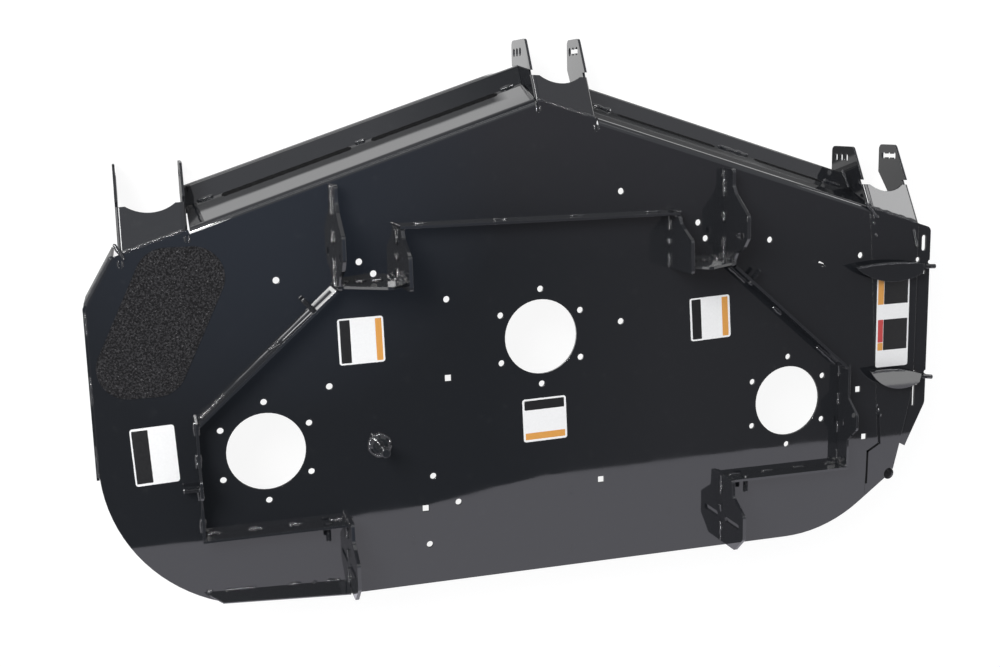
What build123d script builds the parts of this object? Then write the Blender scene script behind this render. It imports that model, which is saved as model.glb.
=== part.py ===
from build123d import *
from math import atan, cos, radians, sin, sqrt, tan
import os

os.makedirs("parts", exist_ok=True)

# Stock, in millimetres. The origin is the centre spindle axis on the plate's top face.
sheet = 4.55
hanger_stock = 6.35
rib_stock = 4.8
rib_height = 35.0
bend_outer = 9.0
wall_bend = 13.0
seat = 0.3

# Spindle layout.
spindle_x = 511.0
spindle_setback = 167.4
pilot_d = 139.0
spindle_pcd = 177.8
spindle_bolt_d = 11.5
spindle_bolts = 6

# Plan of the plate. The walls run concentric with the outer blades, whose tip circles overlap.
blade_overlap = 10.3
wall_gap = 8.0
nose_y = 430.0
front_sweep = 18.0
corner_inset = 51.0
rear_cut_angle = 70.0
rear_cut_run = 111.0
side_corner_y = 104.0
deck_depth = 152.0
skirt_overhang = 4.0

# Discharge side, set out from the right spindle, the wall circle and the plate's edge.
seam_inset = 4.3
seam_rear_offset = (208.0, 109.6)
seam_inner_offset = (185.0, 122.6)
seam_foot_run = 14.0
seam_gap = 0.6
seam_slot = 7.0
seam_slot_back = 47.6
heel_angle = 36.0
heel_run = 98.0
bar_d = 24.0
bar_back = 9.0
bar_proud = 2.0
bar_dome = 8.0
bar_dome_run = 5.0
discharge_proud = 5.0
discharge_rear_step = 7.4
tail_inset = 26.0
tail_back = 106.6
edge_notch_d = 12.0
edge_notch_y = 97.0
lip_lap = 12.0
lip_proud = 31.5
lip_shoulder_back = 32.6
lip_tail = 14.0
lip_corner = 12.0
lip_slot_in = 15.0
lip_slot_y = 130.0
lip_slot = (32.0, 10.0)
lip_port_in = 12.0
lip_port_y = 70.5
lip_port = (8.0, 5.0)
lip_hole_out = 4.0
lip_hole_d = 10.0
lip_gap_out = 4.5
lip_gap_y = -168.0
lip_gap = (75.0, 5.0)
lip_window_out = 8.0
lip_window_y = -158.0
lip_window = (12.0, 8.0)
lip_notch_d = 8.0
lip_notch_ys = (91.0, -136.0)
chute_leg = 24.0
chute_lean = 6.0
chute_end = 12.0
chute_toe = 14.0
chute_peg = 15.0
chute_peg_d = 9.0
chute_bow_front = 10.0
chute_bow_rear = 29.0
chute_end_in = 17.0
chute_front_tip_in = 155.0
chute_front_y = 93.0
chute_front_turn = -2.8
chute_front_length = 172.0
chute_rear_tip_in = 114.0
chute_rear_y = -120.0
chute_rear_turn = -9.0
chute_rear_length = 135.0

# Front wall and channel, measured square to the front edge and up from the foot.
wall_run = 30.0
wall_clear = 67.0
fold_root = 16.0
fold_relief = 3.0
ledge_lap = 5.0
channel_run = 61.5
lip_height = 41.0

# Anti-scalp brackets.
ear_pitch = 110.5
left_ear_inset = 10.0
center_ear_x = 2.3
right_ear_offset = 179.3
web_slope = 31.0
web_leg = 17.0
web_reach = 60.0
web_dip = 13.0
web_shoulder = 14.0
web_skew = 3.0
reach_center = 129.0
reach_left = 129.0
reach_right = 136.0
ear_clear = 3.0
ear_root = 34.0
ear_flat = 56.0
ear_corner = 10.0
ear_root_drop = 62.0
relief_notch = 9.0
tab_length = 12.0
tab_back = 16.0
tab_play = 0.3
slot_pitch = 19.05
slot_low = 19.0
slot_back = 22.5
slot_length = 15.5
slot_width = 11.0
ladder_width = 7.5

# Hangers: heights up from the plate, and runs with heights from the back end forwards.
front_outer_x = 373.0
front_inner_x = 261.0
rear_hanger_x = 372.0
hanger_back_y = 112.0
hanger_corner = 7.0
outer_heel = 34.0
outer_steps = [(10, 37), (18, 51), (13, 80), (17, 95), (41, 95), (38, 44), (15, 34), (31, 34)]
inner_heel = 97.0
inner_steps = [(60, 95), (27, 46)]
inner_toe = 38.0
front_slot_at = (60.8, 66.0)
front_slot = (24.0, 13.0)
rear_inset = 8.4
rear_heel = 57.0
rear_steps = [(32, 92), (46, 92), (26, 48), (34, 45)]
rear_slot_at = (51.0, 45.0)
rear_slot = (60.0, 11.0)
tie_step = 11.7
tie_outer = 52.0
tie_peak = 98.0
tie_inner = 70.0
tie_peak_x = 36.0
tie_peak_width = 10.0

# Ribs.
cross_rib_y = 216.5
diagonal_step = 4.5
side_rib_offset = 117.0
diagonal_foot_ahead = 60.4
rear_rib_inset = 140.4
lug_setback = 40.1
lug_base = 85.0
lug_top = 30.0
lug_height = 67.0
flange_inset = 27.4
flange_turn = 2.2
flange_lean = 45.0
flange_width_left = 23.0
flange_width_right = 28.5
flange_length = 259.0
flange_slant = 33.0

# Studs and idler post.
stud_d = 9.5
stud_length = 27.0
stud_head_d = 15.0
stud_head = 3.0
stud_z = 17.5
stud_play = 0.5
diagonal_stud_run = 44.0
side_stud_back = 51.6
rear_stud_run = 40.0
idler_at = (-309.5, -176.0)
idler_d = 17.0
idler_height = 60.0
idler_collar_d = 36.0
idler_collar = 8.0
idler_tip = 1.5

# Labels and pad.
label_film = 0.35
label_corner = 5.0
label_side_out = 188.8  # from the left spindle
label_side_ahead = 12.0
label_discharge_out = 233.5  # from the right spindle
labels = {
    "label_left": ((-334.6, 17.7), 1.0, (82.0, 83.0)),
    "label_right": ((342.0, 11.0), 2.7, (83.5, 83.0)),
    "label_center": ((4.5, -156.8), 1.4, (85.5, 82.0)),
    "label_side": ((-spindle_x - label_side_out, label_side_ahead - spindle_setback), 2.4, (74.0, 101.5)),
    "label_discharge": ((spindle_x + label_discharge_out, -20.3), 0.4, (74.3, 192.7)),
}
pad_film = 1.0
pad_front_x = -691.5
pad_front_y = 199.5
pad_rear_y = -53.0
pad_angle = 64.0
pad_width = 159.0
pad_corner = 52.0

# Hidden underside.
skirt_lap = 47.4
side_wall_back = 22.6
side_wall_low = 1.0
baffle_drop = 112.0
baffle_end_left_y = -110.0
baffle_cusp_y = -60.0
baffle_end_right_y = 20.0

# Holes in the plate.
round_holes = [(160.1, 260.7), (316.1, 195.3), (331.4, 164.7), (467.4, 154.8), (667.3, 113.6),
               (-332.6, 157.5), (-308.0, 135.2), (-477.9, 133.8), (-177.3, 81.0), (158.1, 17.3),
               (-395.0, -60.6), (-212.5, -244.6), (-166.1, -299.2), (-223.2, -374.3)]
square_holes = [(-178.8, -63.5), (669.9, -158.1), (686.8, -258.3), (115.4, -286.3), (-228.5, -304.4)]
hole_d = 12.0
square_hole = 12.0
slit_at = (581.0, 101.0)
slit_turn = -30.0
slit_size = (17.0, 7.0)

sweep = radians(front_sweep)
heel = radians(heel_angle)
rear_cut = radians(rear_cut_angle)
spindle_pitch = sqrt(spindle_x ** 2 + spindle_setback ** 2)
baffle_radius = (spindle_pitch + blade_overlap) / 2
wall_radius = baffle_radius + wall_gap
right_spindle = (spindle_x, -spindle_setback)
left_spindle = (-spindle_x, -spindle_setback)
rear_y = -(spindle_setback + wall_radius)
left_x = -(spindle_x + wall_radius)
front_corner_x = -left_x - corner_inset
left_ear_x = left_ear_inset - front_corner_x
right_ear_x = spindle_x + right_ear_offset
side_rib_x = spindle_x + side_rib_offset
rear_rib_y = rear_y + rear_rib_inset
diagonal_foot_y = diagonal_foot_ahead - spindle_setback
lug_y = -spindle_setback - lug_setback
side_stud_y = -spindle_setback - side_stud_back
rear_cut_x = rear_cut_run - spindle_x
wall_drop = deck_depth - wall_clear
channel_drop = deck_depth - lip_height


def edge_y(x):
    return nose_y - abs(x) * tan(sweep)


def edge_plane(side, x):
    """Section plane square to a front edge: local x is forward, local y is up."""
    return Plane(origin=(x, edge_y(x), 0), x_dir=(side * sin(sweep), cos(sweep), 0),
                 z_dir=(cos(sweep), -side * sin(sweep), 0))


def along(x0, x1):
    return abs(x1 - x0) / cos(sweep)


def on_left_arc(radius):
    """Point where the straight cut at the rear leaves an arc round the left spindle."""
    return (-spindle_x - radius * cos(rear_cut), -spindle_setback - radius * sin(rear_cut))


seam_front_x = right_ear_x - seam_inset
seam_rear = (spindle_x + seam_rear_offset[0], -spindle_setback - seam_rear_offset[1])


def seam_x(y):
    y0 = edge_y(seam_front_x)
    return seam_front_x + (seam_rear[0] - seam_front_x) * (y0 - y) / (y0 - seam_rear[1])


arc_end = (spindle_x + wall_radius * sin(heel), -spindle_setback - wall_radius * cos(heel))
heel_corner = (arc_end[0] + heel_run * cos(heel), arc_end[1] + heel_run * sin(heel))
seam_foot_x = arc_end[0] + seam_foot_run
seam_foot = (seam_foot_x, arc_end[1] + seam_foot_run * tan(heel))
seam_inner = (spindle_x + seam_inner_offset[0], -spindle_setback - seam_inner_offset[1])
seam_front = (seam_front_x, edge_y(seam_front_x))
seam_slot_y = -spindle_setback - seam_slot_back
bar_at = (heel_corner[0] - bar_back * cos(heel), heel_corner[1] - bar_back * sin(heel))
discharge_edge_x = spindle_x + wall_radius + discharge_proud
discharge_rear_y = discharge_rear_step - spindle_setback
discharge_tail = (discharge_edge_x - tail_inset, -spindle_setback - tail_back)
lip_outer_x = discharge_edge_x + lip_proud
lip_shoulder_y = -spindle_setback - lip_shoulder_back

fold_inset = sheet / 2 + fold_relief
left_fold = (left_ear_x + ear_pitch + fold_inset, center_ear_x - fold_inset)
right_fold = (center_ear_x + ear_pitch + fold_inset, right_ear_x - fold_inset)
plate_ears = [left_ear_x, left_ear_x + ear_pitch, center_ear_x, center_ear_x + ear_pitch]


def folded(points, radius):
    """Section of a folded sheet whose outer face follows the points, clockwise round the outside."""
    with BuildSketch() as section:
        with BuildLine():
            FilletPolyline(*points, radius=radius)
            offset(amount=sheet, side=Side.RIGHT)
        make_face()
    return section.sketch


def front_wall(side, x0, x1):
    """Folded-down front edge of the plate, trimmed square to X at both ends."""
    with BuildPart() as wall:
        with BuildSketch(edge_plane(side, x0 - wall_run)):
            add(folded([(-fold_root, 0), (0, 0), (wall_run, -wall_drop)], wall_bend))
        extrude(amount=along(x0 - wall_run, x1 + wall_run))
        with Locations(((x0 + x1) / 2, 0, -deck_depth / 2)):
            Box(x1 - x0, 4 * nose_y, 4 * deck_depth, mode=Mode.INTERSECT)
    return wall.part


with BuildPart() as deck_plate:
    with BuildSketch(Plane.XY.offset(-sheet)):
        with BuildLine():
            corner = (-front_corner_x, edge_y(front_corner_x))
            Polyline((0, nose_y), corner, (left_x, side_corner_y), (left_x, -spindle_setback))
            CenterArc(left_spindle, wall_radius, 180, rear_cut_angle)
            Polyline(on_left_arc(wall_radius), (rear_cut_x, rear_y), (spindle_x, rear_y))
            CenterArc(right_spindle, wall_radius, 270, heel_angle)
            Polyline(arc_end, seam_foot, seam_inner, seam_rear, seam_front, (0, nose_y))
        make_face()
        with Locations((0, 0), left_spindle, right_spindle):
            Circle(pilot_d / 2, mode=Mode.SUBTRACT)
        for axis in ((0, 0), left_spindle, right_spindle):
            with Locations(axis):
                with PolarLocations(spindle_pcd / 2, spindle_bolts, start_angle=90):
                    Circle(spindle_bolt_d / 2, mode=Mode.SUBTRACT)
        with Locations(*round_holes):
            Circle(hole_d / 2, mode=Mode.SUBTRACT)
        with Locations(*square_holes):
            Rectangle(square_hole, square_hole, mode=Mode.SUBTRACT)
        with Locations(Location(slit_at, slit_turn)):
            SlotOverall(slit_size[0], slit_size[1], mode=Mode.SUBTRACT)
        for x in plate_ears:
            with Locations((x, edge_y(x) - tab_back)):
                Rectangle(sheet + 2 * tab_play, tab_length + 2 * tab_play, mode=Mode.SUBTRACT)
    extrude(amount=sheet)
    for side, (x0, x1) in ((-1, left_fold), (1, right_fold)):
        with BuildSketch(edge_plane(side, x0 - fold_relief)):
            with Locations((-fold_root, -sheet)):
                Rectangle(fold_root + sheet, sheet, align=(Align.MIN, Align.MIN))
        extrude(amount=along(x0 - fold_relief, x1 + fold_relief), mode=Mode.SUBTRACT)
        add(front_wall(side, x0, x1))
deck_plate.part.label = "deck_plate"
export_step(deck_plate.part, "parts/deck_plate.step")

# Discharge side.
with BuildPart() as discharge_plate:
    with BuildSketch(Plane.XY.offset(-sheet)):
        with BuildLine():
            Polyline((seam_front_x + seam_gap, edge_y(seam_front_x + seam_gap)),
                     (seam_x(seam_slot_y) + seam_gap, seam_slot_y),
                     (seam_x(seam_slot_y) + seam_slot, seam_slot_y),
                     (seam_rear[0] + seam_slot, seam_rear[1] - seam_gap),
                     (seam_rear[0] + seam_gap, seam_rear[1] - seam_gap),
                     (seam_inner[0] + seam_gap, seam_inner[1] - seam_gap),
                     (seam_foot[0] + seam_gap, seam_foot[1] + seam_gap * tan(heel)),
                     heel_corner, discharge_tail, (discharge_edge_x, discharge_rear_y),
                     (discharge_edge_x, edge_y(discharge_edge_x)), close=True)
        make_face()
        with Locations(bar_at):
            Circle(bar_d / 2 + seat, mode=Mode.SUBTRACT)
        with Locations((discharge_edge_x, edge_notch_y)):
            Circle(edge_notch_d / 2, mode=Mode.SUBTRACT)
        with Locations((right_ear_x, edge_y(right_ear_x) - tab_back)):
            Rectangle(sheet + 2 * tab_play, tab_length + 2 * tab_play, mode=Mode.SUBTRACT)
    extrude(amount=sheet)
discharge_plate.part.label = "discharge_plate"
export_step(discharge_plate.part, "parts/discharge_plate.step")

with BuildPart() as discharge_lip:
    with BuildSketch(Plane.XY.offset(-2 * sheet)):
        with BuildLine():
            lap_x = discharge_edge_x - lip_lap
            Polyline((lap_x, edge_y(lap_x)), (lap_x, discharge_rear_y),
                     (discharge_tail[0] - lip_lap, discharge_tail[1]),
                     (discharge_tail[0] + lip_tail, discharge_tail[1] - lip_tail),
                     (lip_outer_x, lip_shoulder_y), (lip_outer_x, edge_y(lip_outer_x)), close=True)
        make_face()
        fillet(vertices().sort_by_distance((lip_outer_x, edge_y(lip_outer_x)))[0], lip_corner)
        fillet(vertices().sort_by_distance((lip_outer_x, lip_shoulder_y))[0], 2 * lip_corner)
        with Locations(Location((lip_outer_x - lip_slot_in, lip_slot_y), 90)):
            SlotOverall(lip_slot[0], lip_slot[1], mode=Mode.SUBTRACT)
        with Locations(Location((lip_outer_x - lip_port_in, lip_port_y), 90)):
            SlotOverall(lip_port[0], lip_port[1], mode=Mode.SUBTRACT)
        with Locations((discharge_edge_x + lip_hole_out, edge_notch_y)):
            Circle(lip_hole_d / 2, mode=Mode.SUBTRACT)
        with Locations(Location((discharge_edge_x + lip_gap_out, lip_gap_y), 90)):
            SlotOverall(lip_gap[0], lip_gap[1], mode=Mode.SUBTRACT)
        with Locations((discharge_edge_x + lip_window_out, lip_window_y)):
            Rectangle(lip_window[0], lip_window[1], mode=Mode.SUBTRACT)
        with Locations(*[(lip_outer_x, y) for y in lip_notch_ys]):
            Circle(lip_notch_d / 2, mode=Mode.SUBTRACT)
    extrude(amount=sheet)
discharge_lip.part.label = "discharge_lip"
export_step(discharge_lip.part, "parts/discharge_lip.step")


def chute_bracket(tip_in, y, turn, length):
    """T-shaped hinge arm: an upright leg on the plate under a leaning, leaf-shaped top, with a peg."""
    run = (cos(radians(turn)), sin(radians(turn)), 0)
    base = Plane(origin=(discharge_edge_x - tip_in, y, 0), x_dir=run, z_dir=(0, 0, 1))
    with BuildPart() as bracket:
        with BuildSketch(base.offset(chute_leg).rotated((chute_lean, 0, 0))):
            with BuildLine():
                top = length - chute_end_in
                ThreePointArc((0, 0), (top / 2, chute_bow_front), (top, chute_end / 2))
                Line((top, chute_end / 2), (top, -chute_end))
                ThreePointArc((top, -chute_end), (top / 2, -chute_bow_rear), (0, 0))
            make_face()
        extrude(amount=-sheet)
        with BuildSketch(base):
            with Locations((chute_toe, 0)):
                Rectangle(length - chute_toe, sheet, align=(Align.MIN, Align.CENTER))
        extrude(amount=chute_leg - sheet / 2)
        peg_at = base.from_local_coords((length - chute_peg / 2, 0, chute_leg / 2))
        with Locations(Plane(origin=peg_at, z_dir=run)):
            Cylinder(chute_peg_d / 2, 1.5 * chute_peg, align=(Align.CENTER, Align.CENTER, Align.MIN))
    return bracket.part


chute_bracket_front = chute_bracket(chute_front_tip_in, chute_front_y, chute_front_turn, chute_front_length)
chute_bracket_front.label = "chute_bracket_front"
export_step(chute_bracket_front, "parts/chute_bracket_front.step")
chute_bracket_rear = chute_bracket(chute_rear_tip_in, chute_rear_y, chute_rear_turn, chute_rear_length)
chute_bracket_rear.label = "chute_bracket_rear"
export_step(chute_bracket_rear, "parts/chute_bracket_rear.step")

# Skirts and walls below the plate.
with BuildPart() as rear_skirt:
    with BuildSketch(Plane.XY.offset(-deck_depth)):
        with BuildLine():
            skirt_radius = wall_radius - skirt_overhang
            skirt_x = -spindle_x - skirt_radius
            skirt_y = -spindle_setback - skirt_radius
            skirt_end = (spindle_x + skirt_radius * sin(heel), -spindle_setback - skirt_radius * cos(heel))
            skirt_run = heel_run - bar_back - bar_d / 2
            Line((skirt_x, skirt_lap - spindle_setback), (skirt_x, -spindle_setback))
            CenterArc(left_spindle, skirt_radius, 180, rear_cut_angle)
            Polyline(on_left_arc(skirt_radius), (rear_cut_x, skirt_y), (spindle_x, skirt_y))
            CenterArc(right_spindle, skirt_radius, 270, heel_angle)
            Line(skirt_end, (skirt_end[0] + skirt_run * cos(heel), skirt_end[1] + skirt_run * sin(heel)))
            offset(amount=sheet, side=Side.LEFT)
        make_face()
    extrude(amount=deck_depth - sheet)
rear_skirt.part.label = "rear_skirt"
export_step(rear_skirt.part, "parts/rear_skirt.step")

with BuildPart() as skirt_end_bar:
    with BuildSketch(Plane.XY.offset(-deck_depth)):
        with Locations(bar_at):
            Circle(bar_d / 2)
    extrude(amount=deck_depth + bar_proud)
    chamfer(skirt_end_bar.edges().sort_by(Axis.Z)[-1], bar_dome_run, bar_dome)
skirt_end_bar.part.label = "skirt_end_bar"
export_step(skirt_end_bar.part, "parts/skirt_end_bar.step")

with BuildPart() as left_side_wall:
    with BuildSketch(Plane.XY.offset(-deck_depth)):
        with BuildLine():
            Polyline((-front_corner_x, edge_y(front_corner_x)), (left_x, side_corner_y),
                     (left_x, -spindle_setback - side_wall_back))
            offset(amount=sheet, side=Side.RIGHT)
        make_face()
    extrude(amount=deck_depth - side_wall_low)
left_side_wall.part.label = "left_side_wall"
export_step(left_side_wall.part, "parts/left_side_wall.step")


def front_channel(side, x0, x1):
    """Folded ledge and lip below a front wall, trimmed to the bracket ears at both ends."""
    wall_length = sqrt(wall_run ** 2 + wall_drop ** 2)
    foot_run = wall_run - sheet * wall_drop / wall_length
    foot_drop = wall_drop + sheet * wall_run / wall_length + 2 * seat
    fall = (channel_drop - foot_drop) / (channel_run - foot_run)
    start = (foot_run - ledge_lap, ledge_lap * fall - foot_drop)
    with BuildPart() as channel:
        with BuildSketch(edge_plane(side, x0 - channel_run)):
            add(folded([start, (channel_run, -channel_drop), (channel_run, -deck_depth)], bend_outer))
        extrude(amount=along(x0 - channel_run, x1 + channel_run))
        with Locations(((x0 + x1) / 2, 0, -deck_depth / 2)):
            Box(x1 - x0, 4 * nose_y, 4 * deck_depth, mode=Mode.INTERSECT)
    return channel.part


channel_inset = sheet / 2 + seat
left_end = left_ear_x + ear_pitch + channel_inset
front_channel_left = front_channel(-1, left_end, center_ear_x - channel_inset)
front_channel_left.label = "front_channel_left"
export_step(front_channel_left, "parts/front_channel_left.step")
right_end = center_ear_x + ear_pitch + channel_inset
front_channel_right = front_channel(1, right_end, right_ear_x - channel_inset)
front_channel_right.label = "front_channel_right"
export_step(front_channel_right, "parts/front_channel_right.step")

with BuildPart() as front_baffle:
    with BuildSketch(Plane.XY.offset(-baffle_drop)):
        with Locations((0, 0), left_spindle, right_spindle):
            Circle(baffle_radius + sheet)
        with Locations((0, 0), left_spindle, right_spindle):
            Circle(baffle_radius, mode=Mode.SUBTRACT)
        with BuildLine():
            Polyline((-2 * spindle_x, baffle_end_left_y), (-spindle_x / 2, baffle_cusp_y),
                     (spindle_x / 2, baffle_cusp_y), (2 * spindle_x, baffle_end_right_y),
                     (2 * spindle_x, nose_y), (-2 * spindle_x, nose_y), close=True)
        make_face(mode=Mode.INTERSECT)
    extrude(amount=baffle_drop - sheet)
front_baffle.part.label = "front_baffle"
export_step(front_baffle.part, "parts/front_baffle.step")


# Anti-scalp brackets.
def anti_scalp_bracket(side, x0, reach, roots, ladder_ear):
    """Folded U: a sloping web off the plate's front edge and two slotted ears."""
    x1 = x0 + ear_pitch
    mid = (x0 + x1) / 2
    fall = tan(radians(web_slope)) * cos(sweep)
    dip = atan(fall)
    outer0 = x0 - sheet / 2
    outer1 = x1 + sheet / 2

    def line_y(x):
        return nose_y - side * x * tan(sweep)

    def web_z(x, y):
        return -sheet - fall * (y - line_y(x))

    def web_front(x):
        return line_y(mid) + web_reach - side * (x - mid) * tan(radians(web_skew))

    y_start = min(line_y(outer0), line_y(outer1)) - web_leg
    y_front = line_y(mid) + reach
    z_foot = ear_clear - deck_depth
    low = web_leg - sheet
    with BuildPart() as bracket:
        with BuildSketch(Plane(origin=(0, y_start, 0), x_dir=(1, 0, 0), z_dir=(0, -cos(dip), sin(dip)))):
            top0 = web_z(outer0, y_start) * cos(dip)
            top1 = web_z(outer1, y_start) * cos(dip)
            add(folded([(outer0, top0 - web_leg), (outer0, top0), (outer1, top1), (outer1, top1 - web_leg)],
                       bend_outer))
        extrude(amount=-(y_front - y_start) / cos(dip))
        with BuildSketch(Plane.XY.offset(-deck_depth)):
            with BuildLine():
                inner0 = x0 + web_shoulder
                inner1 = x1 - web_shoulder
                Polyline((inner0, web_front(inner0)), (outer0, web_front(outer0)), (outer0, line_y(outer0)),
                         (outer1, line_y(outer1)), (outer1, web_front(outer1)), (inner1, web_front(inner1)))
                ThreePointArc((inner1, web_front(inner1)), (mid, web_front(mid) - web_dip),
                              (inner0, web_front(inner0)))
            make_face()
        extrude(amount=2 * deck_depth, mode=Mode.INTERSECT)
        for x, root in zip((x0, x1), roots):
            y_edge = line_y(x)
            y_web = web_front(x)
            y_notch = y_web + relief_notch
            if root > 0:
                y_heel = y_edge - sheet / 4
                back_points = [(y_edge - root, -ear_root_drop), (y_edge - root, -sheet), (y_heel, -sheet)]
            else:
                y_heel = y_edge + sheet / 4
                back_points = [(y_heel, -ear_root_drop)]
            with BuildSketch(Plane.YZ.offset(x - sheet / 2)):
                with BuildLine():
                    Polyline(*back_points, (y_heel, -sheet - low), (y_web, web_z(x, y_web) - low),
                             (y_notch, web_z(x, y_notch) - low), (y_notch, web_z(x, y_notch)),
                             (y_front, web_z(x, y_front)), (y_front, z_foot), (y_front - ear_flat, z_foot),
                             close=True)
                make_face()
                fillet(vertices().sort_by(Axis.X)[-2:], ear_corner)
                for step in range(3):
                    with Locations((y_front - slot_back, -deck_depth + slot_low + step * slot_pitch)):
                        SlotOverall(slot_length, slot_width, mode=Mode.SUBTRACT)
                if x == ladder_ear:
                    with Locations((y_front - slot_back, -deck_depth + slot_low + slot_pitch)):
                        Rectangle(ladder_width, 2 * slot_pitch, mode=Mode.SUBTRACT)
            extrude(amount=sheet)
            if root > tab_back:
                with Locations((x, y_edge - tab_back, -sheet)):
                    Box(sheet, tab_length, sheet, align=(Align.CENTER, Align.CENTER, Align.MIN))
    return bracket.part


full_roots = (ear_root, ear_root)
anti_scalp_bracket_left = anti_scalp_bracket(-1, left_ear_x, reach_left, full_roots, left_ear_x + ear_pitch)
anti_scalp_bracket_left.label = "anti_scalp_bracket_left"
export_step(anti_scalp_bracket_left, "parts/anti_scalp_bracket_left.step")
ladder_x = center_ear_x + ear_pitch
anti_scalp_bracket_center = anti_scalp_bracket(1, center_ear_x, reach_center, full_roots, ladder_x)
anti_scalp_bracket_center.label = "anti_scalp_bracket_center"
export_step(anti_scalp_bracket_center, "parts/anti_scalp_bracket_center.step")
short_roots = (ear_root, 0)
ladder_x = right_ear_x + ear_pitch
anti_scalp_bracket_right = anti_scalp_bracket(1, right_ear_x, reach_right, short_roots, ladder_x)
anti_scalp_bracket_right.label = "anti_scalp_bracket_right"
export_step(anti_scalp_bracket_right, "parts/anti_scalp_bracket_right.step")


# Hangers.
def stepped(back, height, steps):
    """Outline in Y and Z standing on the plate, from its back end forwards."""
    points = [(back, 0), (back, height)]
    for run, height in steps:
        points.append((points[-1][0] + run, height))
    points.append((points[-1][0], 0))
    return points


def hanger(x, profile, slot_at, slot_size):
    """Upright hanger plate standing on the deck, with an upright slot set out from its back end."""
    with BuildPart() as plate:
        with BuildSketch(Plane.YZ.offset(x - hanger_stock / 2)):
            with BuildLine():
                Polyline(*profile, close=True)
            make_face()
            fillet([v for v in vertices() if v.Y > hanger_corner], hanger_corner)
            if slot_size:
                with Locations(Location((profile[0][0] + slot_at[0], slot_at[1]), 90)):
                    SlotOverall(slot_size[0], slot_size[1], mode=Mode.SUBTRACT)
        extrude(amount=hanger_stock)
    return plate.part


outer_profile = stepped(hanger_back_y, outer_heel, outer_steps)
inner_length = cross_rib_y - rib_stock / 2 - hanger_back_y
inner_run = inner_length - sum(run for run, height in inner_steps)
inner_profile = stepped(hanger_back_y, inner_heel, inner_steps + [(inner_run, inner_toe)])
rear_profile = stepped(rear_y + rear_inset, rear_heel, rear_steps)

front_hanger_outer_left = hanger(-front_outer_x, outer_profile, front_slot_at, front_slot)
front_hanger_outer_left.label = "front_hanger_outer_left"
export_step(front_hanger_outer_left, "parts/front_hanger_outer_left.step")
front_hanger_outer_right = hanger(front_outer_x, outer_profile, front_slot_at, front_slot)
front_hanger_outer_right.label = "front_hanger_outer_right"
export_step(front_hanger_outer_right, "parts/front_hanger_outer_right.step")
front_hanger_inner_left = hanger(-front_inner_x, inner_profile, None, None)
front_hanger_inner_left.label = "front_hanger_inner_left"
export_step(front_hanger_inner_left, "parts/front_hanger_inner_left.step")
front_hanger_inner_right = hanger(front_inner_x, inner_profile, None, None)
front_hanger_inner_right.label = "front_hanger_inner_right"
export_step(front_hanger_inner_right, "parts/front_hanger_inner_right.step")
rear_hanger_left = hanger(-rear_hanger_x, rear_profile, rear_slot_at, rear_slot)
rear_hanger_left.label = "rear_hanger_left"
export_step(rear_hanger_left, "parts/rear_hanger_left.step")
rear_hanger_right = hanger(rear_hanger_x, rear_profile, rear_slot_at, rear_slot)
rear_hanger_right.label = "rear_hanger_right"
export_step(rear_hanger_right, "parts/rear_hanger_right.step")


# Ribs run counter-clockwise, so that each one's plane faces outwards.
def rib_plane(p0, p1):
    length = sqrt((p1[0] - p0[0]) ** 2 + (p1[1] - p0[1]) ** 2)
    run = ((p1[0] - p0[0]) / length, (p1[1] - p0[1]) / length, 0)
    return Plane(origin=(p0[0], p0[1], 0), x_dir=run, z_dir=(run[1], -run[0], 0)), length


def rib(p0, p1, stud_run, lug_run):
    """Flat bar on edge from p0 to p1, with a stud hole and an optional raised lug."""
    plane, length = rib_plane(p0, p1)
    with BuildPart() as bar:
        with BuildSketch(plane.offset(-rib_stock / 2)):
            Rectangle(length, rib_height, align=(Align.MIN, Align.MIN))
            if lug_run:
                with BuildLine():
                    lug_back = lug_run - lug_base / 2
                    lug_front = lug_run + lug_base / 2
                    Polyline((lug_back, rib_height - rib_stock), (lug_back, rib_height),
                             (lug_run - lug_top / 2, lug_height), (lug_run + lug_top / 2, lug_height),
                             (lug_front, rib_height), (lug_front, rib_height - rib_stock), close=True)
                make_face()
                fillet(vertices().sort_by(Axis.Y)[-2:], hanger_corner)
            if stud_run:
                with Locations((stud_run, stud_z)):
                    Circle(stud_d / 2 + stud_play / 2, mode=Mode.SUBTRACT)
        extrude(amount=rib_stock)
    return bar.part


diagonal_top_y = hanger_back_y + diagonal_step
diagonal_fall = (diagonal_top_y - diagonal_foot_y) / (side_rib_x - front_outer_x)
diagonal_stretch = sqrt(1 + diagonal_fall * diagonal_fall)
diagonal_inset = seat + rib_stock / 2 * diagonal_fall / diagonal_stretch
diagonal_x0 = front_outer_x + hanger_stock / 2 + diagonal_inset
diagonal_x1 = side_rib_x - rib_stock / 2 - diagonal_inset
diagonal_y0 = diagonal_top_y - diagonal_fall * (diagonal_x0 - front_outer_x)
diagonal_y1 = diagonal_top_y - diagonal_fall * (diagonal_x1 - front_outer_x)
diagonal_stud_x = front_outer_x + diagonal_stud_run
rear_stud_x = rear_hanger_x + rear_stud_run
side_y0 = diagonal_y1 + rib_stock
side_y1 = rear_rib_y + rib_stock / 2 + seat
rear_x0 = rear_hanger_x + hanger_stock / 2 + seat
rear_x1 = side_rib_x + rib_stock / 2

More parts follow.
